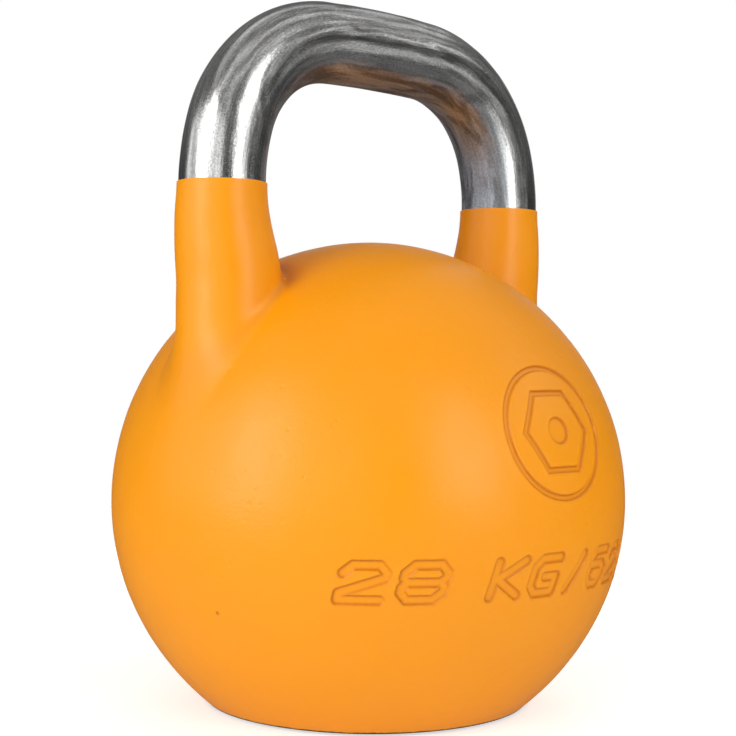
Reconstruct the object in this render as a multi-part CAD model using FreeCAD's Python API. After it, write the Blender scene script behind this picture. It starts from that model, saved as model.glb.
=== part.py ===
import FreeCAD, Part
import math
import os

# Ballasted kettlebell of the one-size competition pattern.
# Frame: origin on the floor under the middle of the foot, +Z up, +X across the handle,
# and the marked front face towards -Y.  Lengths are in millimetres, angles in degrees.

# Outside
HEIGHT = 282.0
BALL_DIAMETER = 209.0
BALL_CENTRE_Z = 82.2
COAT = 1.0
COAT_EDGE_STEP = 0.6

# Handle bar: upright in the horns, bent in over the legs, round the corners, crowned on top
BAR_DIAMETER = 33.0
HANDLE_X = 76.0
COAT_EDGE_Z = 205.0
LEG_LEAN = 16.0
CORNER_RADIUS = 51.2
CROWN_SLOPE = 3.3

# Horns: drafted cones that rise from the ball and hold the bar's spigots
HORN_TOP_Z = 201.0
HORN_DRAFT = 3.2
HORN_TILT = 5.0
HORN_LENGTH = 88.0
HORN_FILLET = 4.0
SPIGOT_DIAMETER = 24.0
SPIGOT_LENGTH = 34.0
SOCKET_CLEARANCE = 0.1
SOCKET_END_GAP = 1.5
SPIGOT_CHAMFER = 2.0
WELD_DEPTH = 3.0
GROOVE_DEPTH = 4.5

# Foot
FOOT_EDGE_RADIUS = 1.5
FOOT_BARE_RIM = 0.8

# Hollow inside the shell, with the set fill in it
CAVITY_DIAMETER = 145.6
CAVITY_FLOOR_Z = 26.0
CAVITY_CORNER = 6.0
FILL_SHRINKAGE = 0.2

# Filler hole and its screwed plug
THREAD_DIAMETER = 36.0
THREAD_CLEARANCE = 0.06
HEAD_DIAMETER = 49.0
HEAD_THICKNESS = 5.0
HEAD_RECESS = 2.0
HEAD_CHAMFER = 0.8
COUNTERBORE_DIAMETER = 50.5
SEAL_THICKNESS = 2.0
SEAL_GAP = 0.05
THREAD_LENGTH = 13.0
PLUG_CHAMFER = 1.5
HEX_ACROSS_FLATS = 17.0
HEX_DEPTH = 8.0

# Well over the filler hole, with the weights that trim the bell to its exact mass
TUBE_WALL = 3.0
TUBE_SEAT_DEPTH = 3.0
TUBE_SEAT_CLEARANCE = 0.1
PAD_THICKNESS = 6.0
PAD_GAP = 0.5
PAD_FIT = 0.05
DISC_COUNT = 4
DISC_THICKNESS = 10.0
DISC_CLEARANCE = 0.2
DISC_PULL_HOLE = 6.8
DISC_CHAMFER = 0.5

# Sizes that follow from the ones above
BALL_RADIUS = BALL_DIAMETER / 2
BAR_RADIUS = BAR_DIAMETER / 2
THREAD_RADIUS = THREAD_DIAMETER / 2
SEAT_Z = HEAD_RECESS + HEAD_THICKNESS + SEAL_THICKNESS
PLUG_TOP_Z = SEAT_Z + THREAD_LENGTH
TUBE_FOOT_Z = CAVITY_FLOOR_Z - TUBE_SEAT_DEPTH
TUBE_RADIUS = THREAD_RADIUS + TUBE_WALL
PAD_BOTTOM_Z = PLUG_TOP_Z + PAD_GAP
DISC_BOTTOM_Z = PAD_BOTTOM_Z + PAD_THICKNESS
WELL_TOP_Z = DISC_BOTTOM_Z + DISC_COUNT * DISC_THICKNESS

UP = FreeCAD.Vector(0, 0, 1)
BALL_CENTRE = FreeCAD.Vector(0, 0, BALL_CENTRE_Z)
SIDES = {"left": -1, "right": 1}
FLATNESS = 1e-4
ON_SURFACE = 1e-3
SEAM_TURN = 90


def cylinder(radius, bottom, top, x=0.0):
    """Upright cylinder between two heights."""
    return Part.makeCylinder(radius, top - bottom, FreeCAD.Vector(x, 0, bottom), UP)


def ring(inner, outer, bottom, top):
    """Upright tube between two heights."""
    return cylinder(outer, bottom, top).cut(cylinder(inner, bottom, top))


def chamfered(solid, size, heights):
    """Solid with the round edges at the given heights chamfered."""
    edges = []
    for edge in solid.Edges:
        box = edge.BoundBox
        if box.ZLength < FLATNESS and any(abs(box.ZMin - z) < FLATNESS for z in heights):
            edges.append(edge)
    return solid.makeChamfer(size, edges)


def flat_bottomed_ball(radius, floor_z, corner):
    """Ball about the bell's centre, cut flat at a height, with a rounded lower edge."""
    ball = Part.makeSphere(radius, BALL_CENTRE, UP)
    ball.rotate(BALL_CENTRE, UP, SEAM_TURN)
    ball = ball.common(cylinder(2 * radius, floor_z, BALL_CENTRE_Z + radius))
    rim = [edge for edge in ball.Edges if edge.BoundBox.ZLength < FLATNESS]
    return ball.makeFillet(corner, rim)


def horn_cone(side, inset):
    """Drafted horn that tilts outwards, so that it flares on its inner side only."""
    draft = math.radians(HORN_DRAFT)
    tilt = math.radians(HORN_TILT)
    axis = FreeCAD.Vector(side * math.sin(tilt), 0, math.cos(tilt))
    top = FreeCAD.Vector(side * HANDLE_X, 0, COAT_EDGE_Z) + axis * (COAT / 2)
    top_radius = BAR_RADIUS + COAT_EDGE_STEP - inset
    low_radius = top_radius + HORN_LENGTH * math.tan(draft)
    cone = Part.makeCone(low_radius, top_radius, HORN_LENGTH, top - axis * HORN_LENGTH, axis)
    cone.rotate(top, axis, SEAM_TURN)
    return cone


def is_horn_root(edge, radius):
    """True for the curve where a horn's cone leaves the ball."""
    span = edge.LastParameter - edge.FirstParameter
    points = [edge.valueAt(edge.FirstParameter + span * step / 4) for step in range(5)]
    on_ball = all(abs(point.distanceToPoint(BALL_CENTRE) - radius) < ON_SURFACE for point in points)
    across = max(abs(point.x) for point in points) > 0.5 * HANDLE_X
    return on_ball and across and edge.BoundBox.ZMin > BALL_CENTRE_Z


def bell_form(inset):
    """Outside of the ball with its two horns, set in from the coat's face."""
    radius = BALL_RADIUS - inset
    form = flat_bottomed_ball(radius, 0.0, FOOT_EDGE_RADIUS)
    for side in SIDES.values():
        form = form.fuse(horn_cone(side, inset))
    roots = [edge for edge in form.Edges if is_horn_root(edge, radius)]
    form = form.makeFillet(HORN_FILLET + inset, roots)
    return form.common(cylinder(2 * radius, 0.0, COAT_EDGE_Z))


def arch_arcs():
    """Arcs of the bar's centreline from the right leg to the left, as three points each."""
    lean = math.radians(LEG_LEAN)
    slope = math.radians(CROWN_SLOPE)
    half = math.tan(slope / 2)
    corner_x = CORNER_RADIUS * (math.cos(lean) - math.sin(slope))
    corner_z = CORNER_RADIUS * (math.cos(slope) - math.sin(lean))
    rise = HEIGHT - BAR_RADIUS - COAT_EDGE_Z - corner_z - half * (HANDLE_X - corner_x)
    leg_radius = rise / (math.sin(lean) - half * (1 - math.cos(lean)))
    crown_x = HANDLE_X - leg_radius * (1 - math.cos(lean)) - corner_x
    crown_radius = crown_x / math.sin(slope)

    quarter = math.pi / 2
    turns = [
        (leg_radius, 0.0, lean),
        (CORNER_RADIUS, lean, quarter - slope),
        (crown_radius, quarter - slope, quarter + slope),
        (CORNER_RADIUS, quarter + slope, 2 * quarter - lean),
        (leg_radius, 2 * quarter - lean, 2 * quarter),
    ]
    start = FreeCAD.Vector(HANDLE_X, 0, COAT_EDGE_Z)
    arcs = []
    for radius, first, last in turns:
        centre = start - outward(first) * radius
        middle = centre + outward((first + last) / 2) * radius
        end = centre + outward(last) * radius
        arcs.append((start, middle, end))
        start = end
    return arcs


def outward(turn):
    """Direction away from the arch's inside after the bar has turned by an angle."""
    return FreeCAD.Vector(math.cos(turn), 0, math.sin(turn))


def weld_groove(side):
    """V-shaped ring cut where the bar's shoulder meets the horn's top."""
    inner = FreeCAD.Vector(side * HANDLE_X + BAR_RADIUS - WELD_DEPTH, 0, HORN_TOP_Z)
    upper = inner + FreeCAD.Vector(GROOVE_DEPTH, 0, GROOVE_DEPTH)
    lower = inner + FreeCAD.Vector(GROOVE_DEPTH, 0, -GROOVE_DEPTH)
    section = Part.Face(Part.makePolygon([inner, upper, lower, inner]))
    return section.revolve(FreeCAD.Vector(side * HANDLE_X, 0, 0), UP, 360)


def handle_bar():
    """Round bar bent to an arch, with a turned-down spigot on each end."""
    edges = [Part.Arc(*points).toShape() for points in arch_arcs()]
    start = FreeCAD.Vector(HANDLE_X, 0, COAT_EDGE_Z)
    profile = Part.Wire(Part.makeCircle(BAR_RADIUS, start, UP))
    bar = Part.Wire(edges).makePipeShell([profile], True, False)
    for side in SIDES.values():
        x = side * HANDLE_X
        spigot_end = HORN_TOP_Z - SPIGOT_LENGTH
        spigot = cylinder(SPIGOT_DIAMETER / 2, spigot_end, HORN_TOP_Z, x)
        spigot = chamfered(spigot, SPIGOT_CHAMFER, [spigot_end])
        bar = bar.fuse(cylinder(BAR_RADIUS, HORN_TOP_Z, COAT_EDGE_Z, x)).fuse(spigot)
    bar = bar.removeSplitter()
    for side in SIDES.values():
        bar = bar.cut(weld_groove(side))
    return bar


def cavity():
    """Space that the casting's core leaves, flat above the foot."""
    return flat_bottomed_ball(CAVITY_DIAMETER / 2, CAVITY_FLOOR_Z, CAVITY_CORNER)


def casting():
    """Casting before its hollow and holes: ball and horns, bevelled round the bar's shoulders."""
    solid = bell_form(COAT).common(cylinder(BALL_DIAMETER, 0.0, HORN_TOP_Z))
    for side in SIDES.values():
        solid = solid.cut(weld_groove(side))
    return solid


def bell_shell(solid):
    """Cast shell: ball, horns with sockets, foot plate with the filler hole."""
    shell = solid.cut(cavity())
    shell = shell.cut(cylinder(THREAD_RADIUS + THREAD_CLEARANCE, 0.0, CAVITY_FLOOR_Z))
    shell = shell.cut(cylinder(COUNTERBORE_DIAMETER / 2, 0.0, SEAT_Z))
    shell = shell.cut(cylinder(TUBE_RADIUS + TUBE_SEAT_CLEARANCE, TUBE_FOOT_Z, CAVITY_FLOOR_Z))
    socket_radius = (SPIGOT_DIAMETER + SOCKET_CLEARANCE) / 2
    socket_end = HORN_TOP_Z - SPIGOT_LENGTH - SOCKET_END_GAP
    for side in SIDES.values():
        shell = shell.cut(cylinder(socket_radius, socket_end, HORN_TOP_Z, side * HANDLE_X))
    return shell


def handle_weld(side):
    """Weld that fills the groove, ground flush with the bar."""
    low = HORN_TOP_Z - GROOVE_DEPTH
    high = HORN_TOP_Z + GROOVE_DEPTH
    return weld_groove(side).common(cylinder(BAR_RADIUS, low, high, side * HANDLE_X))


def body_coat(covered):
    """Coat over ball, horns and welds, ending above the foot and in a ring on each horn."""
    coat = bell_form(0.0).common(cylinder(BALL_DIAMETER, FOOT_BARE_RIM, COAT_EDGE_Z))
    for piece in covered:
        coat = coat.cut(piece)
    return coat


def trim_tube():
    """Steel cup that keeps a straight well open through the fill."""
    cup = cylinder(TUBE_RADIUS, TUBE_FOOT_Z, WELL_TOP_Z + TUBE_WALL)
    cup = chamfered(cup, PLUG_CHAMFER, [WELL_TOP_Z + TUBE_WALL])
    return cup.cut(cylinder(THREAD_RADIUS, TUBE_FOOT_Z, WELL_TOP_Z))


def ballast_fill():
    """Set fill that packs the hollow round the cup."""
    radius = CAVITY_DIAMETER / 2 - FILL_SHRINKAGE
    fill = flat_bottomed_ball(radius, CAVITY_FLOOR_Z, CAVITY_CORNER)
    well_top = WELL_TOP_Z + TUBE_WALL + FILL_SHRINKAGE
    return fill.cut(cylinder(TUBE_RADIUS + FILL_SHRINKAGE, CAVITY_FLOOR_Z, well_top))


def trim_disc(index):
    """Steel weight with a pull hole, one of a stack in the well."""
    bottom = DISC_BOTTOM_Z + index * DISC_THICKNESS
    top = bottom + DISC_THICKNESS
    disc = cylinder(THREAD_RADIUS - DISC_CLEARANCE, bottom, top)
    disc = chamfered(disc, DISC_CHAMFER, [bottom, top])
    return disc.cut(cylinder(DISC_PULL_HOLE / 2, bottom, top))


def trim_pad():
    """Rubber pad pushed into the well under the weights, so that they can't rattle."""
    return cylinder(THREAD_RADIUS - PAD_FIT, PAD_BOTTOM_Z, DISC_BOTTOM_Z)


def hexagon(across_flats, bottom, top):
    """Upright hexagonal prism."""
    corner = across_flats / math.sqrt(3)
    angles = [math.radians(60 * step) for step in range(7)]
    points = [FreeCAD.Vector(corner * math.cos(a), corner * math.sin(a), bottom) for a in angles]
    return Part.Face(Part.makePolygon(points)).extrude(UP * (top - bottom))


def base_plug():
    """Screwed plug: a flat head in the foot's recess, a threaded shank, a hexagon socket."""
    head_top = HEAD_RECESS + HEAD_THICKNESS
    head = cylinder(HEAD_DIAMETER / 2, HEAD_RECESS, head_top)
    head = chamfered(head, HEAD_CHAMFER, [HEAD_RECESS])
    shank = cylinder(THREAD_RADIUS, head_top, PLUG_TOP_Z)
    shank = chamfered(shank, PLUG_CHAMFER, [PLUG_TOP_Z])
    socket = hexagon(HEX_ACROSS_FLATS, HEAD_RECESS, HEAD_RECESS + HEX_DEPTH)
    return head.fuse(shank).cut(socket)


def plug_seal():
    """Flat rubber ring between the plug's head and the recess."""
    bottom = HEAD_RECESS + HEAD_THICKNESS + SEAL_GAP
    return ring(THREAD_RADIUS + SEAL_GAP, HEAD_DIAMETER / 2, bottom, SEAT_Z - SEAL_GAP)


def build():
    """Every separate piece, by its node name."""
    solid = casting()
    bar = handle_bar()
    welds = {name: handle_weld(side) for name, side in SIDES.items()}
    pieces = {
        "bell_shell": bell_shell(solid),
        "handle_bar": bar,
        "body_coat": body_coat([solid, bar, *welds.values()]),
        "ballast_fill": ballast_fill(),
        "trim_tube": trim_tube(),
        "trim_pad": trim_pad(),
        "base_plug": base_plug(),
        "plug_seal": plug_seal(),
    }
    for name, weld in welds.items():
        pieces["handle_weld_" + name] = weld
    for index in range(DISC_COUNT):
        pieces["trim_disc_" + str(index + 1)] = trim_disc(index)
    return pieces


os.makedirs("parts", exist_ok=True)
for name, shape in build().items():
    shape.exportStep("parts/" + name + ".step")
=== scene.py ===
import math

import bmesh
import bpy
import numpy as np
from mathutils import Matrix, Vector, noise


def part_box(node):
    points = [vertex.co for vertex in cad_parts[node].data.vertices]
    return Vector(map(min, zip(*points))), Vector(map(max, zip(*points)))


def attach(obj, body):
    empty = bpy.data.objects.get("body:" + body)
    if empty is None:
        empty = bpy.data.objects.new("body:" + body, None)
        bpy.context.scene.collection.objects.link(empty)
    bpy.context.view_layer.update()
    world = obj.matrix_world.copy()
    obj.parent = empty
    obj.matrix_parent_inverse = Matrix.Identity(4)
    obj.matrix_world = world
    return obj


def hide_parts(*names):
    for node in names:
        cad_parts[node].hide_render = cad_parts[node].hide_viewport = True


# Looks of a competition kettlebell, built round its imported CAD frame.
# Shapes are worked out in millimetres in the frame's axes and scaled to metres on the mesh.

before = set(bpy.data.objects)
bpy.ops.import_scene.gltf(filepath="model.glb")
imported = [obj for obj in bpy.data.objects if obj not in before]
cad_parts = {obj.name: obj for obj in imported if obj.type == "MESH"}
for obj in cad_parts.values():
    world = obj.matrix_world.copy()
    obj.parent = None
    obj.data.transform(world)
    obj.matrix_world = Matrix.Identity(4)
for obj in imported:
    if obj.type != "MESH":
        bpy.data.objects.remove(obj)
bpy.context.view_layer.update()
MM = 0.001

# ---------------------------------------------------------------- dimensions, mm
coat_low, coat_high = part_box("body_coat")
BAR_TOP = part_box("handle_bar")[1].z / MM
BALL_R = (coat_high.x - coat_low.x) / 2 / MM
BALL_Z = 82.2
COAT_TOP = coat_high.z / MM
COAT_FOOT = coat_low.z / MM
COAT_INSET = 0.93
IRON_TOP = 201.0
BAR_R = 16.5

# The horns widen and move inwards below their tops.
HORN_X = 76.0
HORN_R = 17.1
HORN_GROWTH = 3.0
HORN_GROWTH_DEPTH = 34.0
HORN_SHIFT = 3.7
HORN_SHIFT_START = 7.0
HORN_SHIFT_DEPTH = 32.0
HORN_FOOT_Z = 110.0

# Radii of the horns' roots: towards the other horn, at the front and back, and outside.
BLEND_CROTCH = 2.8
BLEND_FRONT = 3.8
BLEND_SIDE = 8.5

# How squarely a root must face outwards or inwards before its radius changes, and over what span.
OUTWARD_START = 0.15
OUTWARD_SPAN = 0.7
INWARD_START = 0.1
INWARD_SPAN = 0.8


# ---------------------------------------------------------------- fields and meshes in numpy
def smooth(t):
    """Smooth step from 0 to 1."""
    t = np.clip(t, 0.0, 1.0)
    return t * t * (3.0 - 2.0 * t)


def ball_field(p):
    """Signed distance to the ball, at points p."""
    return np.sqrt(p[:, 0] ** 2 + p[:, 1] ** 2 + (p[:, 2] - BALL_Z) ** 2) - BALL_R


def horn_field(p, side):
    """Signed distance to a horn and its blend radius to the ball, at points p."""
    depth = COAT_TOP - p[:, 2]
    growth = HORN_GROWTH * smooth(depth / HORN_GROWTH_DEPTH)
    shift = HORN_SHIFT * smooth((depth - HORN_SHIFT_START) / HORN_SHIFT_DEPTH)
    dx = side * p[:, 0] - (HORN_X - shift)
    reach = np.hypot(dx, p[:, 1])
    field = np.maximum(reach - HORN_R - growth, HORN_FOOT_Z - p[:, 2])
    inward = -dx / np.maximum(reach, 1e-6)
    blend = BLEND_FRONT + (BLEND_SIDE - BLEND_FRONT) * smooth((-inward - OUTWARD_START) / OUTWARD_SPAN)
    blend += (BLEND_CROTCH - BLEND_FRONT) * smooth((inward - INWARD_START) / INWARD_SPAN)
    return field, blend


def rounded_union(one, two, radius):
    """Union of two distance fields, with its inner corner rounded."""
    corner = np.hypot(np.maximum(radius - one, 0.0), np.maximum(radius - two, 0.0))
    return np.maximum(radius, np.minimum(one, two)) - corner


def form(p):
    """Signed distance to the outside of the coat: ball and two horns with rounded roots."""
    ball = ball_field(p)
    left, right = (rounded_union(ball, *horn_field(p, side)) for side in (-1, 1))
    return np.minimum(left, right)


def inner_form(p):
    """Signed distance to the inside of the coat."""
    return form(p) + COAT_INSET


def gradient(field, p, step=0.02):
    """Gradient of a field at points p."""
    g = np.empty_like(p)
    for axis in range(3):
        d = np.zeros(3)
        d[axis] = step
        g[:, axis] = (field(p + d) - field(p - d)) / (2 * step)
    return g


def settle(field, p, rounds=3):
    """Points moved onto the zero surface of a field."""
    for _ in range(rounds):
        g = gradient(field, p)
        p = p - g * (field(p) / np.maximum((g * g).sum(1), 1e-9))[:, None]
    return p


def normals(field, p):
    """Unit vectors straight out of a field's surface at points p."""
    g = gradient(field, p)
    return g / np.linalg.norm(g, axis=1)[:, None]


def grid_crossings(f, inside):
    """Mean place of a field's zero crossings in each grid cell, in cell units, and their number."""
    cells = tuple(n - 1 for n in f.shape)
    total = np.zeros(cells + (3,))
    count = np.zeros(cells)
    for a in [(i, j, k) for i in (0, 1) for j in (0, 1) for k in (0, 1)]:
        for axis in range(3):
            if a[axis]:
                continue
            b = [1 if c == axis else a[c] for c in range(3)]
            near = tuple(slice(o, o + n) for o, n in zip(a, cells))
            far = tuple(slice(o, o + n) for o, n in zip(b, cells))
            cross = inside[near] != inside[far]
            t = np.where(cross, f[near] / np.where(cross, f[near] - f[far], 1.0), 0.0)
            for c in range(3):
                total[..., c] += np.where(cross, a[c] + (t if c == axis else 0.0), 0.0)
            count += cross
    return total, count


def surface_net(field, low, high, step):
    """Vertices and triangles of a field's zero surface, from a regular grid of cells."""
    axes = [np.arange(a, b + step, step) for a, b in zip(low, high)]
    shape = tuple(len(a) for a in axes)
    f = field(np.stack(np.meshgrid(*axes, indexing="ij"), -1).reshape(-1, 3)).reshape(shape)
    inside = f < 0
    total, count = grid_crossings(f, inside)
    live = count > 0
    index = np.full(live.shape, -1)
    index[live] = np.arange(live.sum())
    verts = (np.stack(np.nonzero(live), -1) + total[live] / count[live][:, None]) * step + np.array(low)
    quads = []
    for axis in range(3):
        u, v = [c for c in range(3) if c != axis]
        here = [slice(1, n - 1) for n in shape]
        here[axis] = slice(0, shape[axis] - 1)
        ahead = list(here)
        ahead[axis] = slice(1, shape[axis])
        start = inside[tuple(here)]
        i, j, k = np.nonzero(start != inside[tuple(ahead)])
        at = np.stack((i, j, k), -1)
        at[:, u] += 1
        at[:, v] += 1
        ring = []
        for du, dv in ((1, 1), (0, 1), (0, 0), (1, 0)):
            c = at.copy()
            c[:, u] -= du
            c[:, v] -= dv
            ring.append(index[c[:, 0], c[:, 1], c[:, 2]])
        ring = np.stack(ring, -1)
        turned = start[i, j, k] == (axis == 1)
        ring[turned] = ring[turned][:, ::-1]
        quads.append(ring)
    quads = np.concatenate(quads)
    return verts, np.concatenate((quads[:, [0, 1, 2]], quads[:, [0, 2, 3]]))


def refine(field, verts, tris, wanted):
    """Splits the wanted triangles in four, and their neighbours as far as they must follow."""
    edges = np.sort(np.concatenate((tris[:, [0, 1]], tris[:, [1, 2]], tris[:, [2, 0]])), 1)
    keys, back = np.unique(edges, axis=0, return_inverse=True)
    back = back.reshape(3, -1).T
    split = np.zeros(len(keys), bool)
    split[back[wanted].ravel()] = True
    new = np.full(len(keys), -1)
    new[split] = len(verts) + np.arange(split.sum())
    middle = (verts[keys[split, 0]] + verts[keys[split, 1]]) / 2
    verts = np.concatenate((verts, settle(field, middle, 2)))
    cut = split[back]
    number = cut.sum(1)
    mid = new[back]
    out = [tris[number == 0]]
    t, m = tris[number == 3], mid[number == 3]
    out += [
        np.stack((t[:, 0], m[:, 0], m[:, 2]), 1),
        np.stack((t[:, 1], m[:, 1], m[:, 0]), 1),
        np.stack((t[:, 2], m[:, 2], m[:, 1]), 1),
        m,
    ]
    for turn in range(3):
        order = [turn, (turn + 1) % 3, (turn + 2) % 3]
        pick = (number == 1) & cut[:, turn]
        t, m = tris[pick][:, order], mid[pick][:, turn]
        out += [np.stack((t[:, 0], m, t[:, 2]), 1), np.stack((m, t[:, 1], t[:, 2]), 1)]
        pick = (number == 2) & ~cut[:, order[2]]
        t, m = tris[pick][:, order], mid[pick][:, order]
        out += [
            np.stack((m[:, 0], t[:, 1], m[:, 1]), 1),
            np.stack((t[:, 0], m[:, 0], m[:, 1]), 1),
            np.stack((t[:, 0], m[:, 1], t[:, 2]), 1),
        ]
    return verts, np.concatenate(out)


def waves(p, shortest, longest, number, seed):
    """Gentle random unevenness between about -1 and 1, from plane waves."""
    r = np.random.default_rng(seed)
    out = np.zeros(len(p))
    for _ in range(number):
        d = r.normal(size=3)
        d /= np.linalg.norm(d)
        length = math.exp(r.uniform(math.log(shortest), math.log(longest)))
        out += np.sin(p @ d * (2 * math.pi / length) + r.uniform(0, 2 * math.pi))
    return out / math.sqrt(2 * number)


# ---------------------------------------------------------------- marks
LETTER_H = 12.8
LETTER_W = 11.5
LETTER_PITCH = 17.0
WIDE_W = 15.3
WIDE_PITCH = 21.7
GROUP_GAP = 12.5
STROKE = 3.6
CORNER = 2.9
WAIST = 1.7
SLANT = 0.24
ROW_Z = 62.0
ROW_START = math.radians(-47.2)
ROW_LENGTH = 190.0
MARK_DEPTH = 0.85
STEEP_WALL = 0.4
DRAW_WALL = 0.9
ROUNDEL_Z = 114.0
ROUNDEL_LON = math.radians(2.0)
RING_R = 24.8
HEXAGON_R = 14.5
HUB_R = 5.0
LINE = 2.1
FAR = 99.0


def glyph(name, w):
    """Centrelines of a plain block sign, w wide and LETTER_H high."""
    h, c, e = LETTER_H, CORNER, WAIST
    mid = h / 2
    return {
        "2": [[(0, h - c), (c, h), (w - c, h), (w, h - c), (w, h - 4.6), (0, 2.6), (0, 0), (w, 0)]],
        "8": [
            [(e, mid), (0, mid - e), (0, c), (c, 0), (w - c, 0), (w, c), (w, mid - e), (w - e, mid)],
            [(e, mid), (w - e, mid), (w, mid + e), (w, h - c), (w - c, h), (c, h), (0, h - c),
             (0, mid + e), (e, mid)],
        ],
        "K": [[(0, 0), (0, h)], [(w, h), (1.2, mid), (w, 0)]],
        "G": [[(w, h), (c, h), (0, h - c), (0, c), (c, 0), (w, 0), (w, mid - 0.4), (w / 2, mid - 0.4)]],
        "/": [[(w * 0.2, 0), (w * 0.8, h)]],
        "6": [
            [(w, h), (c, h), (0, h - c), (0, c), (c, 0), (w - c, 0), (w, c), (w, mid - 0.6),
             (w - c, mid + 1.2), (0, mid + 1.2)]
        ],
        "L": [[(0, h), (0, 0), (w, 0)]],
        "B": [
            [(0, 0), (0, h), (w - c, h), (w, h - c), (w, mid + e), (w - e, mid), (w, mid - e), (w, c),
             (w - c, 0), (0, 0)],
            [(0, mid), (w - e, mid)],
        ],
    }[name]


def strokes():
    """Segments of the row of weight marks, as (x0, y0, x1, y1) from the row's left end."""
    segments = []
    at = 0.0
    for text, width, pitch in (("28", WIDE_W, WIDE_PITCH), ("KG/62LB", LETTER_W, LETTER_PITCH)):
        for mark in text:
            for line in glyph(mark, width):
                for (x0, y0), (x1, y1) in zip(line, line[1:]):
                    y0, y1 = y0 - LETTER_H / 2, y1 - LETTER_H / 2
                    segments.append((at + x0 + SLANT * y0, y0, at + x1 + SLANT * y1, y1))
            at += pitch
        at += GROUP_GAP
    return segments


def stroke_distance(u, v, segment):
    """Signed distance to a stroke with its ends rounded."""
    x0, y0, x1, y1 = segment
    length = math.hypot(x1 - x0, y1 - y0)
    tx, ty = (x1 - x0) / length, (y1 - y0) / length
    along = (u - x0) * tx + (v - y0) * ty - length / 2
    across = (v - y0) * tx - (u - x0) * ty
    dx = np.abs(along) - length / 2
    dy = np.abs(across) - STROKE / 2
    bar = np.hypot(np.maximum(dx, 0), np.maximum(dy, 0)) + np.minimum(np.maximum(dx, dy), 0)
    ends = np.minimum(np.hypot(u - x0, v - y0), np.hypot(u - x1, v - y1)) - STROKE / 2
    return np.minimum(bar, ends)


def row_distance(p):
    """Signed distance to the edge of the row of weight marks."""
    row_lat = math.asin((ROW_Z - BALL_Z) / BALL_R)
    u = (longitude(p) - ROW_START) * BALL_R * math.cos(row_lat)
    v = (np.arcsin(np.clip((p[:, 2] - BALL_Z) / BALL_R, -1, 1)) - row_lat) * BALL_R
    near = (np.abs(v) < LETTER_H) & (u > -LETTER_H) & (u < ROW_LENGTH) & (p[:, 1] < 0)
    out = np.full(len(p), FAR)
    for segment in strokes():
        out[near] = np.minimum(out[near], stroke_distance(u[near], v[near], segment))
    return out


def roundel_distance(p):
    """Signed distance to the edge of the ring, the hexagon in it and the hub."""
    lat = math.asin((ROUNDEL_Z - BALL_Z) / BALL_R)
    centre = direction(ROUNDEL_LON, lat)
    east = np.array([math.cos(ROUNDEL_LON), math.sin(ROUNDEL_LON), 0.0])
    north = np.cross(east, centre)
    unit = (p - (0, 0, BALL_Z)) / BALL_R
    r = np.arccos(np.clip(unit @ centre, -1, 1)) * BALL_R
    turn = np.arctan2(unit @ north, unit @ east)
    flat = r * np.cos(np.mod(turn, math.pi / 3) - math.pi / 6)
    ring = np.abs(r - RING_R) - LINE / 2
    hexagon = np.abs(flat - HEXAGON_R) - LINE / 2
    return np.minimum(np.minimum(ring, hexagon), r - HUB_R)


def mark_distance(p):
    """Signed distance to the edge of the engraved marks, negative inside them."""
    return np.minimum(row_distance(p), roundel_distance(p))


def longitude(p):
    """Angle round the bell from its front, in radians."""
    return np.arctan2(p[:, 0], -p[:, 1])


def direction(lon, lat):
    """Unit vector at a longitude from the front and a latitude, in radians."""
    return np.array([math.cos(lat) * math.sin(lon), -math.cos(lat) * math.cos(lon), math.sin(lat)])


def pin(lon, lat):
    """Point on the ball at a longitude from the front and a latitude, in degrees."""
    return direction(math.radians(lon), math.radians(lat)) * BALL_R + (0, 0, BALL_Z)


# ---------------------------------------------------------------- meshes through bmesh
def mesh_object(name, verts_mm, faces):
    """Object in the scene, from vertices in millimetres."""
    mesh = bpy.data.meshes.new(name)
    mesh.from_pydata((np.asarray(verts_mm) * MM).tolist(), [], [list(map(int, f)) for f in faces])
    mesh.update()
    mesh.validate()
    obj = bpy.data.objects.new(name, mesh)
    bpy.context.scene.collection.objects.link(obj)
    return obj


def clip(verts, tris, low, high):
    """Surface cut level at two heights, with the shortest edges of its rims collapsed."""
    shortest = 0.35
    bm = bmesh.new()
    for v in verts:
        bm.verts.new(v)
    bm.verts.ensure_lookup_table()
    for t in tris:
        bm.faces.new([bm.verts[i] for i in t])
    for height, up in ((high, 1), (low, -1)):
        bmesh.ops.bisect_plane(
            bm, geom=bm.verts[:] + bm.edges[:] + bm.faces[:], plane_co=(0, 0, height),
            plane_no=(0, 0, up), clear_outer=True, dist=1e-4,
        )
    bmesh.ops.triangulate(bm, faces=bm.faces[:])
    short = [e for e in bm.edges if e.is_boundary and e.calc_length() < shortest]
    bmesh.ops.collapse(bm, edges=short)
    bm.verts.index_update()
    out_v = np.array([v.co for v in bm.verts])
    out_t = np.array([[v.index for v in f.verts] for f in bm.faces])
    bm.free()
    return out_v, out_t


def open_loops(tris):
    """Boundary loops of a triangle set, each as a list of vertices."""
    edges = np.concatenate((tris[:, [0, 1]], tris[:, [1, 2]], tris[:, [2, 0]])).tolist()
    seen = {(a, b) for a, b in edges}
    after = {a: b for a, b in edges if (b, a) not in seen}
    loops = []
    while after:
        a = next(iter(after))
        loop = []
        while a in after:
            loop.append(a)
            a = after.pop(a)
        loops.append(loop)
    return loops


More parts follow.
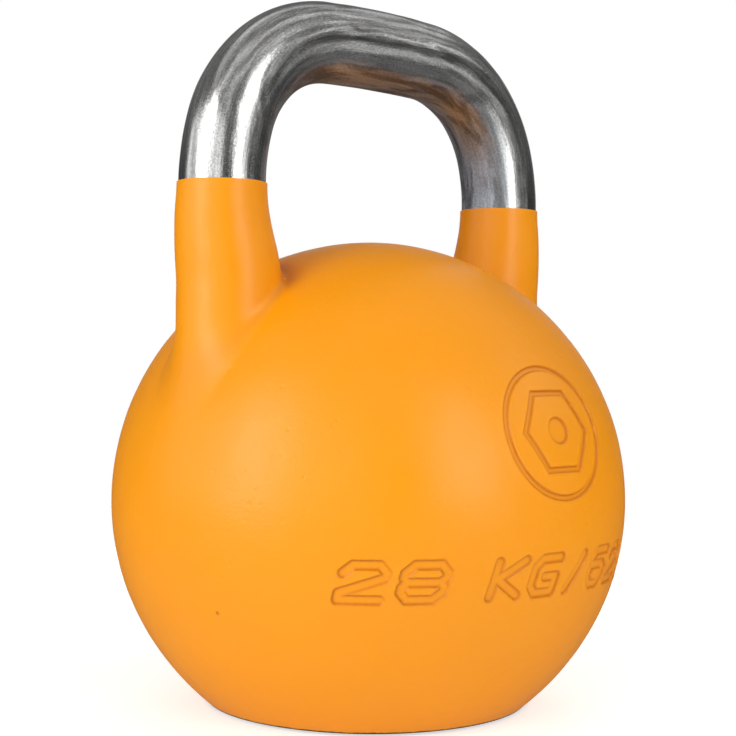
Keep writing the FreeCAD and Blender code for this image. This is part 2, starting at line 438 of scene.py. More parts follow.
def zip_loops(verts, one, two, centre):
    """Triangles between two loops round one upright axis, matched by angle."""
    def ordered(loop):
        pts = verts[loop] - centre
        turn = np.arctan2(pts[:, 1], pts[:, 0])
        order = np.argsort(turn)
        return [loop[i] for i in order], np.append(turn[order], turn[order[0]] + 2 * math.pi)

    a, turn_a = ordered(one)
    b, turn_b = ordered(two)
    out = []
    i = j = 0
    while i < len(a) or j < len(b):
        if i < len(a) and (j >= len(b) or turn_a[i + 1] <= turn_b[j + 1]):
            out.append((a[i], a[(i + 1) % len(a)], b[j % len(b)]))
            i += 1
        else:
            out.append((a[i % len(a)], b[(j + 1) % len(b)], b[j]))
            j += 1
    return np.array(out)


# ---------------------------------------------------------------- coat
NET_LOW = (-107.0, -107.0, -3.0)
NET_HIGH = (107.0, 107.0, 209.0)
OUTER_STEP = 2.5
INNER_STEP = 5.0
OUTER_RIM_Z = COAT_TOP - 0.25
INNER_RIM_Z = IRON_TOP - 0.2

# The outer triangles are split once for each zone. A root zone is a share of the root's radius,
# and whether only its tight part counts. A mark zone is a distance. A pit zone is a distance and
# the least depth of pit that counts.
ROOT_MARGIN = 0.6
TIGHT_ROOT = 1.4 * BLEND_FRONT
PLAIN_RIM = 3.0
ROOT_ZONES = ((1.0, False), (0.45, True))
MARK_ZONES = (2.6, 1.3, 0.62)
PIT_ZONES = ((2.0, 0.0), (0.9, 0.0), (0.4, 0.5))

# Rings from the outer skin over a horn's top edge and down along the bar: radius and height.
HORN_EDGE = (
    (HORN_R - 0.05, COAT_TOP - 0.1),
    (HORN_R - 0.18, COAT_TOP),
    (BAR_R + 0.05, COAT_TOP),
    (BAR_R + 0.04, IRON_TOP),
)

# Dents all over the ball, small pits in its rough patch, and one deep pinhole.
DENTS = 70
PATCH_PITS = 44
PINHOLE = pin(-74.8, -19.3)
PINHOLE_R = 0.65
PINHOLE_DEPTH = 0.75
# Painted shade in and round the pinhole: its strength and reach.
PINHOLE_SHADE = 1.5
PINHOLE_SHADE_R = 0.8
ROUGH_PATCH = pin(-62.0, 7.0)
ROUGH_PATCH_R = 30.0

# How far the outside is sunk: limits, the lip round the marks, unevenness, and fading at both ends.
LEAST_SINK = 0.02
MOST_SINK = 0.9
LIP = 0.10
LIP_AT = 0.9
LIP_WIDTH = 0.7
LIP_INSIDE = -0.5
BROAD_WAVE = 0.16
FINE_WAVE = 0.05
PLAIN_TOP = 9.0
TOP_FADE = 14.0
FOOT_FADE = 6.0
PIT_REACH = 1.8
PIT_FALL = 2.2
NEAR_MARK = 3.0
DRAW_GAIN = 1.4

# Painted shade: in the marks' walls, in the roots' corners, and as a painted shadow on the ball where a
# root is tight.
WALL_SHADE_AT = -0.2
WALL_SHADE_WIDTH = 0.5
WALL_SHADE_LOST = 0.75
# Painted shade in the roots' corners, heaviest at the crotch, and a painted shadow on the ball beside a
# tight root.
CORNER_SHADE = 0.22
CROTCH_SHADE = 0.75
CORNER_FULL = 1.35
CORNER_FALL = 0.5
CORNER_SHARE = 0.3
CORNER_LEAST = 0.5
ROOT_SHADOW = 1.4
ROOT_SHADOW_UP = 6.5
ROOT_SHADOW_OUT = 2.5
ROOT_SHADOW_BLEND = 3.5
ROOT_SHADOW_FADE = 0.6


def pit_list():
    """Pits in the coat: centre on the ball, radius and depth."""
    r = np.random.default_rng(77)
    pits = []
    for _ in range(DENTS):
        d = r.normal(size=3)
        d /= np.linalg.norm(d)
        pits.append((d * BALL_R + (0, 0, BALL_Z), r.uniform(0.7, 1.5), r.uniform(0.06, 0.16)))
    for _ in range(PATCH_PITS):
        centre = pin(r.normal(-62, 8), r.normal(7, 8))
        pits.append((centre, r.uniform(0.5, 1.0), r.uniform(0.10, 0.26)))
    pits.append((PINHOLE, PINHOLE_R, PINHOLE_DEPTH))
    return pits


def near_root(p, reach, tight_only):
    """Whether points lie near the rounded corner between the ball and a horn."""
    ball = np.abs(ball_field(p))
    near = np.zeros(len(p), bool)
    for side in (-1, 1):
        horn, k = horn_field(p, side)
        root = np.maximum(np.abs(horn), ball) < reach * k + ROOT_MARGIN
        near |= root & (p[:, 2] > HORN_FOOT_Z) & (k < (TIGHT_ROOT if tight_only else FAR))
    return near


def near_pit(p, pits, reach, shallowest):
    """Whether points lie near a pit that is deep enough."""
    near = np.zeros(len(p), bool)
    for centre, radius, depth in pits:
        if depth >= shallowest:
            near |= ((p - centre) ** 2).sum(1) < (radius + reach) ** 2
    return near


def outer_skin(pits):
    """The coat's outside before it is sunk, finer at the roots, the marks and the pits."""
    verts, tris = surface_net(form, NET_LOW, NET_HIGH, OUTER_STEP)
    verts, tris = clip(settle(form, verts), tris, COAT_FOOT, OUTER_RIM_Z)
    for reach, tight_only in ROOT_ZONES:
        centre = verts[tris].mean(1)
        wanted = near_root(centre, reach, tight_only) & (centre[:, 2] < OUTER_RIM_Z - PLAIN_RIM)
        verts, tris = refine(form, verts, tris, wanted)
    for reach in MARK_ZONES:
        wanted = np.abs(mark_distance(verts[tris].mean(1))) < reach
        verts, tris = refine(form, verts, tris, wanted)
    for reach, shallowest in PIT_ZONES:
        wanted = near_pit(verts[tris].mean(1), pits, reach, shallowest)
        verts, tris = refine(form, verts, tris, wanted)
    return verts, tris


def draw_slope(verts, d):
    """Share by which a mark's wall slopes: 0 where it faces the way the mould was drawn, up to 1."""
    step = 0.1
    lon = longitude(verts)
    near = np.abs(d) < NEAR_MARK
    east = np.stack((np.cos(lon[near]), np.sin(lon[near]), np.zeros(near.sum())), 1)
    rise = np.zeros(len(verts))
    rise[near] = np.clip((mark_distance(verts[near] + step * east) - d[near]) / step, -1, 1)
    return np.clip(-rise * np.sin(lon) * DRAW_GAIN, 0, 1)


def sunk_depth(verts, d, slope, pits):
    """How far the outside is sunk at each point: marks with a slight lip, uneven casting, and pits."""
    sink = MARK_DEPTH * smooth((STEEP_WALL / 2 - d) / (STEEP_WALL + DRAW_WALL * slope))
    sink += LIP * (1 - np.exp(-((d - LIP_AT) / LIP_WIDTH) ** 2) * (d > LIP_INSIDE))
    below_top = smooth((COAT_TOP - PLAIN_TOP - verts[:, 2]) / TOP_FADE)
    above_foot = smooth((verts[:, 2] - COAT_FOOT) / FOOT_FADE)
    broad = waves(verts, shortest=22, longest=70, number=28, seed=5) * 0.5 + 0.5
    fine = waves(verts, shortest=7, longest=16, number=40, seed=6) * 0.5 + 0.5
    sink = below_top * (sink + above_foot * (BROAD_WAVE * broad + FINE_WAVE * fine))
    for centre, radius, depth in pits:
        gap = verts - centre
        near = (np.abs(gap) < radius * PIT_REACH).all(1)
        sink[near] += depth * np.exp(-(gap[near] ** 2).sum(1) / radius ** 2 * PIT_FALL)
    return np.clip(sink, LEAST_SINK, MOST_SINK)


def painted_shade_at(verts, d, slope):
    """Painted shade at each point: in the marks' steep walls, the roots' corners and the pinhole."""
    # Painted shade in the marks' steep walls, less where a wall slopes the way the mould was drawn.
    groove = np.exp(-((d - WALL_SHADE_AT) / WALL_SHADE_WIDTH) ** 2) * (1.0 - WALL_SHADE_LOST * slope)
    ball = np.abs(ball_field(verts))
    for side in (-1, 1):
        horn, k = horn_field(verts, side)
        # Painted shade in the rounded corner of each root, heaviest at the crotch.
        away = np.maximum(ball, np.abs(horn)) / np.maximum(CORNER_SHARE * k, CORNER_LEAST)
        corner = np.clip(CORNER_FULL - CORNER_FALL * away, 0, 1)
        crotch = smooth((BLEND_FRONT + 0.2 - k) / (BLEND_FRONT - BLEND_CROTCH))
        # Painted shadow on the ball beside a tight root.
        root_shadow = np.exp(-((np.maximum(horn, 0) / ROOT_SHADOW_UP) ** 2) - (ball / ROOT_SHADOW_OUT) ** 2)
        root_shadow *= ROOT_SHADOW * smooth((ROOT_SHADOW_BLEND - k) / ROOT_SHADOW_FADE)
        root = np.maximum(corner * (CORNER_SHADE + CROTCH_SHADE * crotch), root_shadow)
        groove = np.maximum(groove, root * (verts[:, 2] > HORN_FOOT_Z))
    # Painted shade in the pinhole.
    from_pinhole = np.linalg.norm(verts - PINHOLE, axis=1)
    return np.maximum(groove, PINHOLE_SHADE * np.exp(-((from_pinhole / PINHOLE_SHADE_R) ** 4)))


def inner_skin():
    """The coat's inside, facing inwards."""
    verts, tris = surface_net(inner_form, NET_LOW, NET_HIGH, INNER_STEP)
    verts, tris = clip(settle(inner_form, verts), tris, COAT_FOOT, INNER_RIM_Z)
    return verts, tris[:, ::-1]


def rim_centre(verts, loop):
    """Place in plan of the axis that a rim goes round: the foot's, or that of a horn."""
    x, _, z = verts[loop].mean(0)
    return (math.copysign(HORN_X, x) if z > HORN_FOOT_Z else 0.0, 0.0, 0.0)


def close_rims(verts, outer_loops, inner_loops):
    """Triangles that join the two skins at the foot and over each horn's top edge."""
    partners = {rim_centre(verts, loop): loop for loop in inner_loops}
    faces = []
    for loop in outer_loops:
        centre = rim_centre(verts, loop)
        chain = [loop]
        if centre[0]:
            away = (verts[loop] - centre) * (1, 1, 0)
            away /= np.linalg.norm(away, axis=1)[:, None]
            for radius, height in HORN_EDGE:
                chain.append(list(range(len(verts), len(verts) + len(loop))))
                verts = np.concatenate((verts, centre + away * radius + (0, 0, height)))
        chain.append(partners[centre])
        faces += [zip_loops(verts, one, two, centre) for one, two in zip(chain, chain[1:])]
    return verts, faces


def coat_mesh():
    """Closed mesh of the coat, and what its material reads at each vertex."""
    pits = pit_list()
    verts, tris = outer_skin(pits)
    outer_loops = open_loops(tris)
    d = mark_distance(verts)
    slope = draw_slope(verts, d)
    sink = sunk_depth(verts, d, slope, pits)
    sink[np.concatenate(outer_loops)] = 0.0
    verts = verts - normals(form, verts) * sink[:, None]
    from_patch = np.linalg.norm(verts - ROUGH_PATCH, axis=1) / ROUGH_PATCH_R
    # The painted shade goes to the material as a vertex value.
    values = {"groove": painted_shade_at(verts, d, slope), "rough_patch": np.exp(-(from_patch ** 2))}

    inner_verts, inner_tris = inner_skin()
    inner_tris = inner_tris + len(verts)
    verts = np.concatenate((verts, inner_verts))
    verts, rims = close_rims(verts, outer_loops, open_loops(inner_tris))
    for name, value in values.items():
        values[name] = np.concatenate((value, np.zeros(len(verts) - len(value))))
    return verts, np.concatenate([tris, inner_tris] + rims), values


# ---------------------------------------------------------------- handle
LEG_LEAN = math.radians(16.0)
CORNER_R = 51.2
CROWN_SLOPE = math.radians(3.3)
BAR_SIDES = 120
BAR_STEPS = 430

# Rings of the spigot in the horn, from its end up to the full bar: radius and height.
SPIGOT = ((10.0, 167.0), (12.0, 169.0), (12.0, IRON_TOP), (13.5, IRON_TOP), (BAR_R, 204.0))

# How the grinding starts at the horns and deepens along the legs, and how it wanders.
GRIND_START = 10.0
LIGHT_GRIND = 15.0
FULL_GRIND = 50.0
LEAST_GRIND = 0.3
WANDER = 0.9
WANDER_LENGTH = 48.0

# The side towards the window: how squarely it must face inwards, and over what span.
INNER_START = 0.25
INNER_SPAN = 0.75


def arch():
    """Points, outward directions and lengths along the bar's centreline, right end to left."""
    lean, slope, quarter = LEG_LEAN, CROWN_SLOPE, math.pi / 2
    half = math.tan(slope / 2)
    corner_x = CORNER_R * (math.cos(lean) - math.sin(slope))
    corner_z = CORNER_R * (math.cos(slope) - math.sin(lean))
    rise = BAR_TOP - BAR_R - COAT_TOP - corner_z - half * (HORN_X - corner_x)
    leg = rise / (math.sin(lean) - half * (1 - math.cos(lean)))
    crown = (HORN_X - leg * (1 - math.cos(lean)) - corner_x) / math.sin(slope)
    arcs = [
        (leg, 0, lean),
        (CORNER_R, lean, quarter - slope),
        (crown, quarter - slope, quarter + slope),
        (CORNER_R, quarter + slope, 2 * quarter - lean),
        (leg, 2 * quarter - lean, 2 * quarter),
    ]
    total = sum(r * (b - a) for r, a, b in arcs)
    lengths = np.arange(BAR_STEPS + 1) * total / BAR_STEPS
    points, outs = [], []
    start, done = np.array([HORN_X, COAT_TOP]), 0.0
    for r, a, b in arcs:
        centre = start - r * np.array([math.cos(a), math.sin(a)])
        last = b == arcs[-1][2]
        for s in lengths[len(points):]:
            if s - done > r * (b - a) + 1e-9 and not last:
                break
            angle = a + min(s - done, r * (b - a)) / r
            outs.append((math.cos(angle), math.sin(angle)))
            points.append(centre + r * np.array(outs[-1]))
        start = centre + r * np.array([math.cos(b), math.sin(b)])
        done += r * (b - a)
    return np.array(points), outs, lengths, total


def facets(s, turns, depth, length, count, offset):
    """Depth of ground facets round one ring, with their length along the bar and number round it."""
    x, y, z = offset
    places = [(s / length + x, count * math.cos(t) + y, count * math.sin(t) + z) for t in turns]
    return depth * (np.array([noise.noise(Vector(place)) for place in places]) + 1) / 2


def grind(s, theta, total):
    """Depth taken off the bar by hand grinding, in long wandering facets."""
    end = min(s, total - s)
    fade = min(1.0, end / GRIND_START)
    worn = min(1.0, max(0.0, (end - LIGHT_GRIND) / (FULL_GRIND - LIGHT_GRIND)))
    turns = theta + WANDER * noise.noise(Vector((s / WANDER_LENGTH, 5.0, 1.0)))
    taken = facets(s, turns, depth=0.62, length=58.0, count=2.3, offset=(0.0, 3.0, 7.0))
    taken += facets(s, turns, depth=0.22, length=27.0, count=4.6, offset=(11.0, 1.0, 2.0))
    taken += facets(s, turns, depth=0.05, length=15.0, count=8.5, offset=(31.0, 1.0, 2.0))
    return taken * fade * (LEAST_GRIND + (1 - LEAST_GRIND) * worn)


def bar_mesh():
    """Vertices and faces of the bar, and its rings' lengths along it and angles round it."""
    points, outs, lengths, total = arch()
    theta = np.arange(BAR_SIDES) * 2 * math.pi / BAR_SIDES
    c, w = np.cos(theta), np.sin(theta)
    rings = [np.stack((HORN_X + r * c, r * w, np.full(BAR_SIDES, z)), 1) for r, z in SPIGOT]
    for p, o, s in zip(points, outs, lengths):
        r = BAR_R - grind(s, theta, total)
        rings.append(np.stack((p[0] + r * c * o[0], r * w, p[1] + r * c * o[1]), 1))
    rings += [np.stack((-HORN_X - r * c, r * w, np.full(BAR_SIDES, z)), 1) for r, z in SPIGOT[::-1]]
    ends = np.array([z for _, z in SPIGOT]) - COAT_TOP
    lengths = np.concatenate((ends, lengths, total - ends[::-1]))
    faces = []
    for i in range(len(rings) - 1):
        for j in range(BAR_SIDES):
            k = (j + 1) % BAR_SIDES
            a, b = i * BAR_SIDES, (i + 1) * BAR_SIDES
            faces.append((a + j, a + k, b + k, b + j))
    faces.append(tuple(range(BAR_SIDES))[::-1])
    faces.append(tuple(range((len(rings) - 1) * BAR_SIDES, len(rings) * BAR_SIDES)))
    return np.concatenate(rings), faces, lengths, theta


def unwrap_bar(mesh, lengths):
    """UV map in metres: along the bar, and round it."""
    layer = mesh.uv_layers.new(name="along_bar")
    width = BAR_R * MM * 2 * math.pi / BAR_SIDES
    for poly in mesh.polygons:
        corners = [(li, *divmod(mesh.loops[li].vertex_index, BAR_SIDES)) for li in poly.loop_indices]
        wraps = len(corners) == 4 and corners[0][2] == BAR_SIDES - 1
        for li, ring, j in corners:
            layer.data[li].uv = (lengths[ring] * MM, width * (j + BAR_SIDES if wraps and j == 0 else j))


# ---------------------------------------------------------------- materials
ORANGE = (0.850, 0.298, 0.0009)
DEEP_ORANGE = (0.825, 0.286, 0.0013)
# Tint of the painted shade in the marks, the roots and the pinhole.
SHADE_TINT = (0.60, 0.45, 0.35)
# Tint of the painted shade that darkens the coat towards the bottom.
LOW_SHADE_TINT = (0.45, 0.33, 0.25)
# Colour of the worn bare foot edge, which also stands in for the painted contact shadow along the floor.
WORN_FOOT_AND_SHADOW = (0.07, 0.07, 0.08)
BRIGHT_STEEL = (0.88, 0.88, 0.865)
GREY_STEEL = (0.76, 0.755, 0.74)
SPECKLE = (0.45, 0.45, 0.45)
DULL_STEEL = (0.60, 0.68, 0.80)
STREAK = (0.30, 0.29, 0.27)

# Spans of values: the middle, which a noise mostly stays in, and the whole.
MIDDLE = (0.3, 0.7)
WHOLE = (0.0, 1.0)


def material(name):
    """New material, its node tree and its shader."""
    made = bpy.data.materials.new(name)
    made.use_nodes = True
    return made, made.node_tree, made.node_tree.nodes["Principled BSDF"]


def feed(tree, value, socket):
    """Links an output to a socket, or sets a plain value on it."""
    if isinstance(value, bpy.types.NodeSocket):
        tree.links.new(value, socket)
    elif socket.type == "RGBA":
        socket.default_value = (*value, 1)
    else:
        socket.default_value = value


def node(tree, kind, inputs=None, **settings):
    """New node, with its settings and its inputs."""
    made = tree.nodes.new(kind)
    for key, value in settings.items():
        setattr(made, key, value)
    for key, value in (inputs or {}).items():
        feed(tree, value, made.inputs[key])
    return made


def maths(tree, operation, *values):
    """Result of a Math node."""
    return node(tree, "ShaderNodeMath", dict(enumerate(values)), operation=operation).outputs["Value"]


def mean(tree, one, two):
    """Mean of two values."""
    return maths(tree, "MULTIPLY_ADD", one, 0.5, maths(tree, "MULTIPLY", two, 0.5))


def spread(tree, value, span, to):
    """Value with one span stretched onto another, and held at its ends."""
    inputs = {"Value": value, "From Min": span[0], "From Max": span[1], "To Min": to[0], "To Max": to[1]}
    return node(tree, "ShaderNodeMapRange", inputs).outputs["Result"]


def mix_colours(tree, factor, one, two, blend="MIX"):
    """Second colour mixed over the first, or multiplied into it, by a factor."""
    made = node(tree, "ShaderNodeMix", data_type="RGBA", blend_type=blend)
    factors = [s for s in made.inputs if s.name == "Factor" and s.type == "VALUE"]
    colours = [s for s in made.inputs if s.type == "RGBA"]
    feed(tree, factor, factors[0])
    feed(tree, one, colours[0])
    feed(tree, two, colours[1])
    return next(s for s in made.outputs if s.type == "RGBA")


def noise_node(tree, vector, scale, detail=3.0, rough=0.5, distortion=0.0):
    """Noise at a place; the scale is in lumps per metre."""
    inputs = {"Vector": vector, "Scale": scale, "Detail": detail}
    inputs.update({"Roughness": rough, "Distortion": distortion})
    return node(tree, "ShaderNodeTexNoise", inputs).outputs["Fac"]


def bump(tree, height, strength, distance, below=None):
    """Normal bumped by a height, on top of the bump below it if there is one."""
    inputs = {"Height": height, "Strength": strength, "Distance": distance}
    if below is not None:
        inputs["Normal"] = below
    return node(tree, "ShaderNodeBump", inputs).outputs["Normal"]


def mapped(tree, vector, scale, rotation=(0, 0, 0)):
    """Coordinates turned and stretched."""
    inputs = {"Vector": vector, "Scale": scale, "Rotation": rotation}
    return node(tree, "ShaderNodeMapping", inputs).outputs["Vector"]


def attribute(tree, name, output="Fac"):
    """Value that the mesh holds at each vertex."""
    return node(tree, "ShaderNodeAttribute", attribute_name=name).outputs[output]


def object_coords(tree):
    """Coordinates in metres in the piece's own axes."""
    return node(tree, "ShaderNodeTexCoord").outputs["Object"]


def coat_material():
    """Orange powder coat: painted shade in the marks and the roots, painted shade darker towards the
    bottom, a worn foot edge that is also painted contact shadow, and a rough patch.
    """
    made, tree, shader = material("orange_powder_coat")
    at = object_coords(tree)
    height = node(tree, "ShaderNodeSeparateXYZ", {"Vector": at}).outputs["Z"]
    broad = noise_node(tree, at, scale=14.0)
    colour = mix_colours(tree, spread(tree, broad, MIDDLE, WHOLE), ORANGE, DEEP_ORANGE)
    # Painted shade in the marks, the roots and the pinhole, multiplied into the orange.
    shade_share = spread(tree, attribute(tree, "groove"), (0.0, 1.4), (0.0, 0.95))
    colour = mix_colours(tree, shade_share, colour, SHADE_TINT, "MULTIPLY")
    # Painted shade: the coat darker towards the bottom, fading out 75 mm up.
    low_shade = spread(tree, height, (0.0, 0.075), (0.13, 0.0))
    colour = mix_colours(tree, low_shade, colour, LOW_SHADE_TINT, "MULTIPLY")
    # Worn bare edge at the foot, darkened as painted contact shadow as well.
    ragged = maths(tree, "MULTIPLY_ADD", noise_node(tree, at, scale=400.0), -0.0008, height)
    foot = COAT_FOOT * MM
    worn = spread(tree, ragged, (foot, foot + 0.0004), (0.95, 0.0))
    colour = mix_colours(tree, worn, colour, WORN_FOOT_AND_SHADOW, "MULTIPLY")
    feed(tree, colour, shader.inputs["Base Color"])

    mottle = noise_node(tree, at, scale=90.0, detail=4.0)
    feed(tree, spread(tree, mottle, MIDDLE, (0.31, 0.40)), shader.inputs["Roughness"])
    shader.inputs["Specular IOR Level"].default_value = 0.38

    cast = noise_node(tree, at, scale=210.0, detail=5.0, rough=0.62)
    flat = mapped(tree, at, scale=(1.0, 1.0, 2.2))
    lumps = noise_node(tree, flat, scale=170.0, detail=5.0, rough=0.68)
    wrinkle = maths(tree, "MULTIPLY", lumps, attribute(tree, "rough_patch"))
    peel = noise_node(tree, at, scale=620.0, detail=2.0)
    normal = bump(tree, cast, strength=0.5, distance=0.0003)
    normal = bump(tree, wrinkle, strength=0.6, distance=0.0004, below=normal)
    normal = bump(tree, peel, strength=0.3, distance=0.0001, below=normal)
    feed(tree, normal, shader.inputs["Normal"])
    return made


def steel_material():
    """Ground steel: lines along the bar, speckle, and dark streaks that gather on its inner side."""
    made, tree, shader = material("ground_steel")
    uv = node(tree, "ShaderNodeUVMap", uv_map="along_bar").outputs["UV"]
    at = object_coords(tree)
    inner = attribute(tree, "inner_side")
    along = mapped(tree, uv, scale=(1.0, 16.0, 1.0))
    across = mapped(tree, uv, scale=(14.0, 2.0, 1.0), rotation=(0, 0, 0.5))
    lines = noise_node(tree, along, scale=34.0, detail=5.0, rough=0.65)
    swirls = noise_node(tree, across, scale=40.0, detail=4.0, rough=0.65)
    grain = noise_node(tree, at, scale=1300.0, detail=3.0, rough=0.7)
    broad = noise_node(tree, at, scale=38.0)
    round_bar = mapped(tree, attribute(tree, "bar_space", "Vector"), scale=(1.0, 5.0, 5.0))
    streaks = noise_node(tree, round_bar, scale=24.0, detail=4.0, rough=0.6, distortion=0.7)

    colour = mix_colours(tree, spread(tree, broad, MIDDLE, WHOLE), BRIGHT_STEEL, GREY_STEEL)
    speckled = spread(tree, mean(tree, grain, lines), (0.41, 0.59), (0.75, 0.0))
    colour = mix_colours(tree, speckled, colour, SPECKLE, "MULTIPLY")
    colour = mix_colours(tree, inner, colour, DULL_STEEL, "MULTIPLY")
    share = spread(tree, inner, WHOLE, (0.45, 0.80))
    streaked = maths(tree, "MULTIPLY", spread(tree, streaks, (0.47, 0.60), WHOLE), share)
    colour = mix_colours(tree, streaked, colour, STREAK, "MULTIPLY")
    feed(tree, colour, shader.inputs["Base Color"])

    shader.inputs["Metallic"].default_value = 1.0
    polish = spread(tree, mean(tree, broad, lines), (0.35, 0.65), (0.12, 0.27))
    feed(tree, maths(tree, "MULTIPLY_ADD", inner, 0.42, polish), shader.inputs["Roughness"])

    normal = bump(tree, lines, strength=0.5, distance=0.0001)
    normal = bump(tree, swirls, strength=0.35, distance=0.0001, below=normal)
    normal = bump(tree, grain, strength=0.8, distance=0.00006, below=normal)
    feed(tree, normal, shader.inputs["Normal"])
    return made


def plain_material(name, dark, light, metallic, rough, scale, depth):
    """Mottled metal, rubber or fill, for the pieces whose shapes stay those of the CAD."""
    made, tree, shader = material(name)
    at = object_coords(tree)
    patch = noise_node(tree, at, scale=scale, detail=5.0, rough=0.6)
    fine = noise_node(tree, at, scale=scale * 7, detail=4.0, rough=0.6)
    colour = mix_colours(tree, spread(tree, patch, MIDDLE, WHOLE), dark, light)
    feed(tree, colour, shader.inputs["Base Color"])
    shader.inputs["Metallic"].default_value = metallic
    roughness = spread(tree, patch, MIDDLE, (rough - 0.08, rough + 0.08))
    feed(tree, roughness, shader.inputs["Roughness"])
    feed(tree, bump(tree, fine, strength=0.4, distance=depth), shader.inputs["Normal"])
    return made


# ---------------------------------------------------------------- build the pieces
def shade_smooth(mesh, sharp_angle):
    """Smooth shading, with edges sharper than an angle in degrees left sharp."""
    for poly in mesh.polygons:
        poly.use_smooth = True
    mesh.set_sharp_from_angle(angle=math.radians(sharp_angle))


coat_verts, coat_faces, coat_values = coat_mesh()
coat = mesh_object("orange_coat_skin", coat_verts, coat_faces)
for name, values in coat_values.items():
    coat.data.attributes.new(name, "FLOAT", "POINT").data.foreach_set("value", values.astype(np.float32))
shade_smooth(coat.data, sharp_angle=50)
coat.data.materials.append(coat_material())
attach(coat, "bell")
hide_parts("body_coat")

bar_verts, bar_faces, bar_lengths, bar_turns = bar_mesh()
bar = mesh_object("ground_handle_bar", bar_verts, bar_faces)
shade_smooth(bar.data, sharp_angle=30)
inner_side = np.tile(smooth((-INNER_START - np.cos(bar_turns)) / INNER_SPAN), len(bar_lengths))
bar.data.attributes.new("inner_side", "FLOAT", "POINT").data.foreach_set("value", inner_side)
round_bar = np.tile(np.stack((np.cos(bar_turns), np.sin(bar_turns)), 1) * BAR_R, (len(bar_lengths), 1))
bar_space = np.column_stack((np.repeat(bar_lengths, BAR_SIDES), round_bar)) * MM
bar.data.attributes.new("bar_space", "FLOAT_VECTOR", "POINT").data.foreach_set("vector", bar_space.ravel())
unwrap_bar(bar.data, bar_lengths)
bar.data.materials.append(steel_material())
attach(bar, "bell")
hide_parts("handle_bar")

# Finishes of the CAD nodes, by the starts of their names.
FINISHES = {
    "bell_shell": plain_material(
        "cast_iron_skin", (0.012, 0.011, 0.010), (0.030, 0.027, 0.024),
        metallic=0.2, rough=0.7, scale=160, depth=0.0003,
    ),
    "handle_weld": plain_material(
        "weld_bead", (0.30, 0.29, 0.28), (0.42, 0.41, 0.40),
        metallic=1.0, rough=0.4, scale=220, depth=0.0002,
    ),
    "ballast_fill": plain_material(
        "set_fill", (0.30, 0.29, 0.27), (0.42, 0.41, 0.38),
        metallic=0.0, rough=0.85, scale=120, depth=0.0004,
    ),
    "trim_tube": plain_material(
        "drawn_steel", (0.45, 0.45, 0.44), (0.56, 0.56, 0.55),
        metallic=1.0, rough=0.35, scale=140, depth=0.0001,
    ),
    "trim_disc": plain_material(
        "zinc_plated", (0.55, 0.56, 0.57), (0.66, 0.67, 0.67),
        metallic=1.0, rough=0.35, scale=140, depth=0.0001,
    ),
    "base_plug": plain_material(
        "blackened_steel", (0.05, 0.05, 0.052), (0.09, 0.09, 0.092),
        metallic=0.9, rough=0.4, scale=180, depth=0.0001,
    ),
    "trim_pad": plain_material(
        "rubber_pad", (0.02, 0.02, 0.02), (0.035, 0.035, 0.035),
        metallic=0.0, rough=0.7, scale=260, depth=0.0001,
    ),
    "plug_seal": plain_material(
        "rubber_seal", (0.02, 0.02, 0.02), (0.035, 0.035, 0.035),
        metallic=0.0, rough=0.6, scale=260, depth=0.0001,
    ),
}
for name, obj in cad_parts.items():
    for start, finish in FINISHES.items():
        if name.startswith(start):
            obj.data.materials.clear()
            obj.data.materials.append(finish)

# ---------------------------------------------------------------- floor
FLOOR_R = 0.5
FLOOR_SIDES = 96
FLOOR_Z = -0.0001
FLOOR_GREY = (0.58, 0.58, 0.57)
FLOOR_GLOW = 0.60

floor_mesh = bpy.data.meshes.new("floor")
floor_turns = [2 * math.pi * i / FLOOR_SIDES for i in range(FLOOR_SIDES)]
floor_rim = [(FLOOR_R * math.cos(t), FLOOR_R * math.sin(t), FLOOR_Z) for t in floor_turns]
floor_mesh.from_pydata(floor_rim, [], [range(FLOOR_SIDES)])
floor = bpy.data.objects.new("floor", floor_mesh)
bpy.context.scene.collection.objects.link(floor)
pale, tree, shader = material("pale_floor")
shader.inputs["Base Color"].default_value = (*FLOOR_GREY, 1)
shader.inputs["Roughness"].default_value = 0.7
shader.inputs["Specular IOR Level"].default_value = 0.1
shader.inputs["Emission Color"].default_value = (1, 1, 1, 1)
shader.inputs["Emission Strength"].default_value = FLOOR_GLOW
floor_mesh.materials.append(pale)
floor.visible_glossy = False

# ---------------------------------------------------------------- camera
CAMERA_AZ = math.radians(-41.96)
CAMERA_YAW = math.radians(0.07)
CAMERA_PITCH = math.radians(-0.52)
CAMERA_ROLL = math.radians(0.65)
CAMERA_DISTANCE = 0.618
CAMERA_HEIGHT = 0.1408
SENSOR_WIDTH = 36.0
LENS = 73.46103

eye = Vector((math.sin(CAMERA_AZ), -math.cos(CAMERA_AZ), 0)) * CAMERA_DISTANCE
eye.z = CAMERA_HEIGHT
heading = CAMERA_AZ + CAMERA_YAW
ahead = Vector((-math.sin(heading), math.cos(heading), 0)) * math.cos(CAMERA_PITCH)
ahead.z = math.sin(CAMERA_PITCH)
right = Vector((math.cos(heading), math.sin(heading), 0))
up = right.cross(ahead)
camera_x = math.cos(CAMERA_ROLL) * right + math.sin(CAMERA_ROLL) * up
camera_y = -math.sin(CAMERA_ROLL) * right + math.cos(CAMERA_ROLL) * up
camera_data = bpy.data.cameras.new("camera")
camera_data.sensor_width = SENSOR_WIDTH
camera_data.lens = LENS
camera_data.clip_start = 0.01
camera_data.clip_end = 100
camera = bpy.data.objects.new("camera", camera_data)
bpy.context.scene.collection.objects.link(camera)
facing = Matrix((camera_x, camera_y, -ahead)).transposed().to_4x4()
camera.matrix_world = Matrix.Translation(eye) @ facing
bpy.context.scene.camera = camera


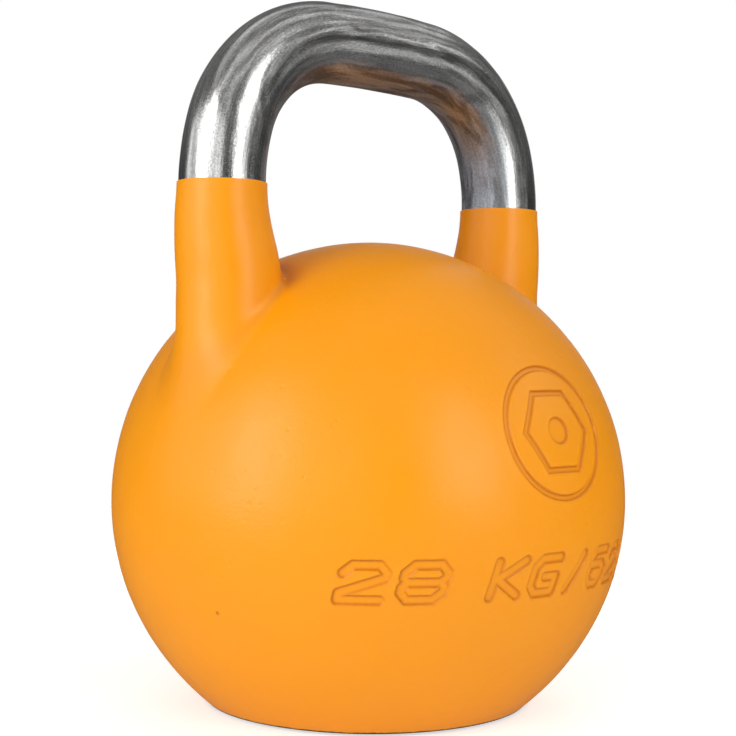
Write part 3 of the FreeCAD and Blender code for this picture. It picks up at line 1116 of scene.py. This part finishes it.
# ---------------------------------------------------------------- lights
def area_light(name, size, radiance, glossy=True):
    """Rectangular light facing down, which the camera doesn't see."""
    data = bpy.data.lights.new(name, "AREA")
    data.shape = "RECTANGLE"
    data.size, data.size_y = size
    data.energy = radiance * math.pi * size[0] * size[1]
    obj = bpy.data.objects.new(name, data)
    bpy.context.scene.collection.objects.link(obj)
    obj.visible_glossy = glossy
    obj.visible_camera = False
    return obj


def softbox(name, turn, height, distance, size, radiance, glossy=True):
    """Light facing the bell's axis; turn is degrees round to the right of the camera."""
    obj = area_light(name, size, radiance, glossy)
    angle = CAMERA_AZ + math.radians(turn)
    obj.location = (distance * math.sin(angle), -distance * math.cos(angle), height)
    inwards = Vector((0, 0, height)) - obj.location
    obj.rotation_euler = inwards.to_track_quat("-Z", "Y").to_euler()


softbox("left_softbox", turn=-48, height=0.45, distance=1.0, size=(2.38, 0.88), radiance=1.0)
softbox("left_core", turn=-48.5, height=0.52, distance=0.98, size=(0.42, 0.98), radiance=3.4)
softbox("right_softbox", turn=45, height=0.24, distance=0.62, size=(0.48, 0.46), radiance=0.7)
softbox("right_core", turn=42, height=0.60, distance=1.0, size=(0.38, 1.0), radiance=2.9)
softbox("rear_panel", turn=178, height=0.35, distance=1.2, size=(1.2, 0.66), radiance=0.3)
softbox("right_fill", turn=100, height=0.9, distance=1.2, size=(0.8, 0.6), radiance=3.2, glossy=False)
softbox("rear_fill", turn=180, height=0.6, distance=1.25, size=(0.8, 0.9), radiance=3.2, glossy=False)
softbox("key_high", turn=0, height=1.3, distance=1.2, size=(1.2, 0.8), radiance=2.15, glossy=False)
softbox("side_card", turn=84, height=0.15, distance=1.0, size=(0.40, 0.26), radiance=0.5)
softbox("side_strip", turn=88, height=0.80, distance=1.1, size=(0.6, 0.12), radiance=1.0)

# Ceiling strips, from the front to the back.
STRIP_HEIGHT = 1.5
STRIP_PLACES = (-0.85, -0.2, 0.45)

for number, place in enumerate(STRIP_PLACES, start=1):
    strip = area_light("strip_%d" % number, size=(3.0, 0.26), radiance=0.65)
    strip.location = (0, place, STRIP_HEIGHT)

# The room's brightness from straight down (0) to straight up (1); the camera itself sees white.
ROOM = ((0.0, 0.20), (0.25, 0.17), (0.42, 0.08), (0.56, 0.06), (0.7, 0.15), (1.0, 0.22))
WHITE = (1, 1, 1)

world = bpy.data.worlds.new("world")
bpy.context.scene.world = world
world.use_nodes = True
tree = world.node_tree
tree.nodes.clear()
around = node(tree, "ShaderNodeTexCoord").outputs["Generated"]
height = node(tree, "ShaderNodeSeparateXYZ", {"Vector": around}).outputs["Z"]
ramp = node(tree, "ShaderNodeValToRGB", {"Fac": spread(tree, height, (-1.0, 1.0), WHOLE)})
while len(ramp.color_ramp.elements) < len(ROOM):
    ramp.color_ramp.elements.new(0.5)
for stop, (place, grey) in zip(ramp.color_ramp.elements, ROOM):
    stop.position = place
    stop.color = (grey, grey, grey, 1)
room_inputs = {"Color": WHITE, "Strength": ramp.outputs["Color"]}
room = node(tree, "ShaderNodeBackground", room_inputs).outputs["Background"]
white = node(tree, "ShaderNodeBackground", {"Color": WHITE, "Strength": 1.0}).outputs["Background"]
seen = node(tree, "ShaderNodeLightPath").outputs["Is Camera Ray"]
pick = node(tree, "ShaderNodeMixShader", {"Fac": seen, 1: room, 2: white})
node(tree, "ShaderNodeOutputWorld", {"Surface": pick.outputs["Shader"]})

bpy.context.scene.view_settings.view_transform = "Standard"
